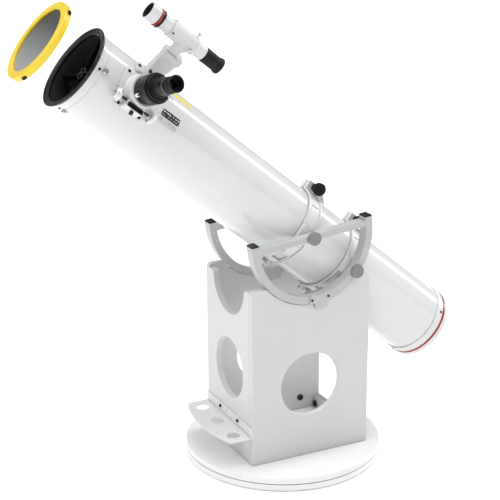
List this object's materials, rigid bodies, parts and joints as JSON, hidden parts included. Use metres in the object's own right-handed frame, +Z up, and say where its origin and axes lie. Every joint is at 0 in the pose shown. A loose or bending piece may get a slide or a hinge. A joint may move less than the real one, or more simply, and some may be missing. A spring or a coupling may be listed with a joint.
{
  "type": "dobsonian telescope",
  "caption": "Newtonian reflector telescope on a low rocker box, with side focuser, finder scope, eyepiece tray and a solar filter held off its open end.",
  "frame": {"origin": "centre of the round base where it stands on the floor, on the azimuth axis", "axes": "+Z up; +X along the altitude axis towards the side that carries the focuser; -Y towards the sky end of the tube"},
  "size_m": [0.4819, 1.0936, 1.1302],
  "materials": {
    "white_laminate": "white melamine-faced board, satin",
    "tube_white": "white gloss enamel",
    "frame_grey": "pale grey powder coat",
    "ring_white": "white powder coat",
    "black_metal": "black anodised, satin",
    "black_plastic": "black moulded plastic",
    "grey_plastic": "mid-grey moulded plastic",
    "white_plastic": "white moulded plastic",
    "yellow_plastic": "yellow moulded plastic",
    "red_trim": "red gloss",
    "rubber": "black rubber",
    "felt": "black felt",
    "steel": "plain steel",
    "dark_steel": "black-oxide steel",
    "chrome": "bright plated",
    "aluminium": "turned, satin",
    "mirror": "front-surface aluminised glass",
    "film": "dark metallised solar film",
    "glide_pad": "slippery white plastic"
  },
  "bodies": {
    "ground": {"ground_board": "white_laminate", "base_glides": "glide_pad", "pivot_bolt": "steel"},
    "rocker": {"turntable_board": "white_laminate", "side_panel_right": "white_laminate", "side_panel_left": "white_laminate", "front_panel": "white_laminate", "rear_brace": "white_laminate", "altitude_pads": "glide_pad", "eyepiece_tray": "ring_white", "rocker_screws": "dark_steel"},
    "cradle": {"bearing_frame_right": "frame_grey", "bearing_frame_left": "frame_grey", "bearing_end_caps": "black_plastic", "guide_clips": "frame_grey", "cradle_screws": "dark_steel", "bolt_caps": "grey_plastic", "front_ring_right": "ring_white", "front_ring_left": "ring_white", "rear_ring_right": "ring_white", "rear_ring_left": "ring_white", "ring_hinge_pins": "steel", "ring_liners": "felt"},
    "front_clamp_knob": {"front_ring_knob": "black_plastic"},
    "rear_clamp_knob": {"rear_ring_knob": "black_plastic"},
    "tube": {"optical_tube": "tube_white", "front_collar": "tube_white", "front_rim": "black_metal", "spider": "black_metal", "spider_nuts": "chrome", "secondary_holder": "black_metal", "secondary_mirror": "mirror", "primary_mirror": "mirror", "mirror_cell": "aluminium", "rear_cell": "ring_white", "red_band": "red_trim", "collimation_screws": "black_metal", "tube_screws": "dark_steel", "focuser_base": "ring_white", "pinion_cover": "black_metal", "finder_shoe": "white_plastic"},
    "focus_drive": {"pinion_shaft": "dark_steel", "focus_knobs": "aluminium"},
    "drawtube": {"drawtube": "black_metal"},
    "drawtube_lock": {"drawtube_screw": "chrome"},
    "tension_lock": {"tension_screw": "dark_steel"},
    "eyepiece_adapter": {"eyepiece_adapter": "black_metal"},
    "adapter_lock": {"adapter_screw": "aluminium"},
    "eyepiece": {"eyepiece_barrel": "chrome", "eyepiece_body": "black_metal", "eyecup": "rubber"},
    "finder": {"finder_bracket": "white_plastic", "finder_tube": "tube_white", "finder_objective": "tube_white", "finder_ring": "black_metal", "finder_screws": "dark_steel"},
    "finder_eyepiece": {"finder_eyepiece": "rubber"},
    "filter": {"filter_ring": "yellow_plastic", "filter_film": "film", "filter_clips": "black_plastic"}
  },
  "joints": [
    {"name": "azimuth", "type": "hinge", "parent": "ground", "child": "rocker", "pos_m": [0, 0, 0.0185], "axis": [0, 0, 1], "continuous": true},
    {"name": "altitude", "type": "hinge", "parent": "rocker", "child": "cradle", "pos_m": [0, 0.012, 0.576], "axis": [-1, 0, 0], "range_deg": [-39, 51]},
    {"name": "tube_slide", "type": "slide", "parent": "cradle", "child": "tube", "axis": [0, -0.7771, 0.6293], "range_m": [-0.03, 0.03]},
    {"name": "front_knob_turn", "type": "hinge", "parent": "cradle", "child": "front_clamp_knob", "pos_m": [0, 0.07734, 0.66463], "axis": [1, 0, 0], "range_deg": [0, 720]},
    {"name": "rear_knob_turn", "type": "hinge", "parent": "cradle", "child": "rear_clamp_knob", "pos_m": [0, 0.19391, 0.57024], "axis": [1, 0, 0], "range_deg": [0, 720]},
    {"name": "focus_turn", "type": "hinge", "parent": "tube", "child": "focus_drive", "pos_m": [0.10829, -0.40592, 0.91797], "axis": [0, -0.7771, 0.6293], "range_deg": [-477.6, 114.7]},
    {"name": "drawtube_slide", "type": "slide", "parent": "tube", "child": "drawtube", "axis": [0.9426, 0.2101, 0.2594], "range_m": [-0.006, 0.025]},
    {"name": "drawtube_screw_turn", "type": "hinge", "parent": "drawtube", "child": "drawtube_lock", "pos_m": [0.14495, -0.41052, 0.94654], "axis": [0.263, -0.9459, -0.1898], "range_deg": [0, 720]},
    {"name": "tension_screw_turn", "type": "hinge", "parent": "tube", "child": "tension_lock", "pos_m": [0.11378, -0.41568, 0.90592], "axis": [0.3338, -0.5932, -0.7326], "range_deg": [0, 720]},
    {"name": "adapter_slide", "type": "slide", "parent": "drawtube", "child": "eyepiece_adapter", "axis": [0.9426, 0.2101, 0.2594], "range_m": [0, 0.03]},
    {"name": "adapter_screw_turn", "type": "hinge", "parent": "eyepiece_adapter", "child": "adapter_lock", "pos_m": [0.17099, -0.35134, 0.93893], "axis": [0.0751, 0.6238, -0.778], "range_deg": [0, 720]},
    {"name": "eyepiece_slide", "type": "slide", "parent": "eyepiece_adapter", "child": "eyepiece", "axis": [0.9426, 0.2101, 0.2594], "range_m": [0, 0.032]},
    {"name": "finder_slide", "type": "slide", "parent": "tube", "child": "finder", "axis": [0, -0.7771, 0.6293], "range_m": [-0.02, 0.04]},
    {"name": "finder_focus", "type": "hinge", "parent": "finder", "child": "finder_eyepiece", "pos_m": [0.12485, -0.24311, 1.00781], "axis": [0, -0.7771, 0.6293], "range_deg": [-180, 180]},
    {"name": "filter_slide", "type": "slide", "parent": "tube", "child": "filter", "axis": [0, -0.7771, 0.6293], "range_m": [-0.083, 0]}
  ],
  "couplings": [
    {"joint": "focus_turn", "follows": "drawtube_slide", "rad_per_m": -333.33}
  ]
}
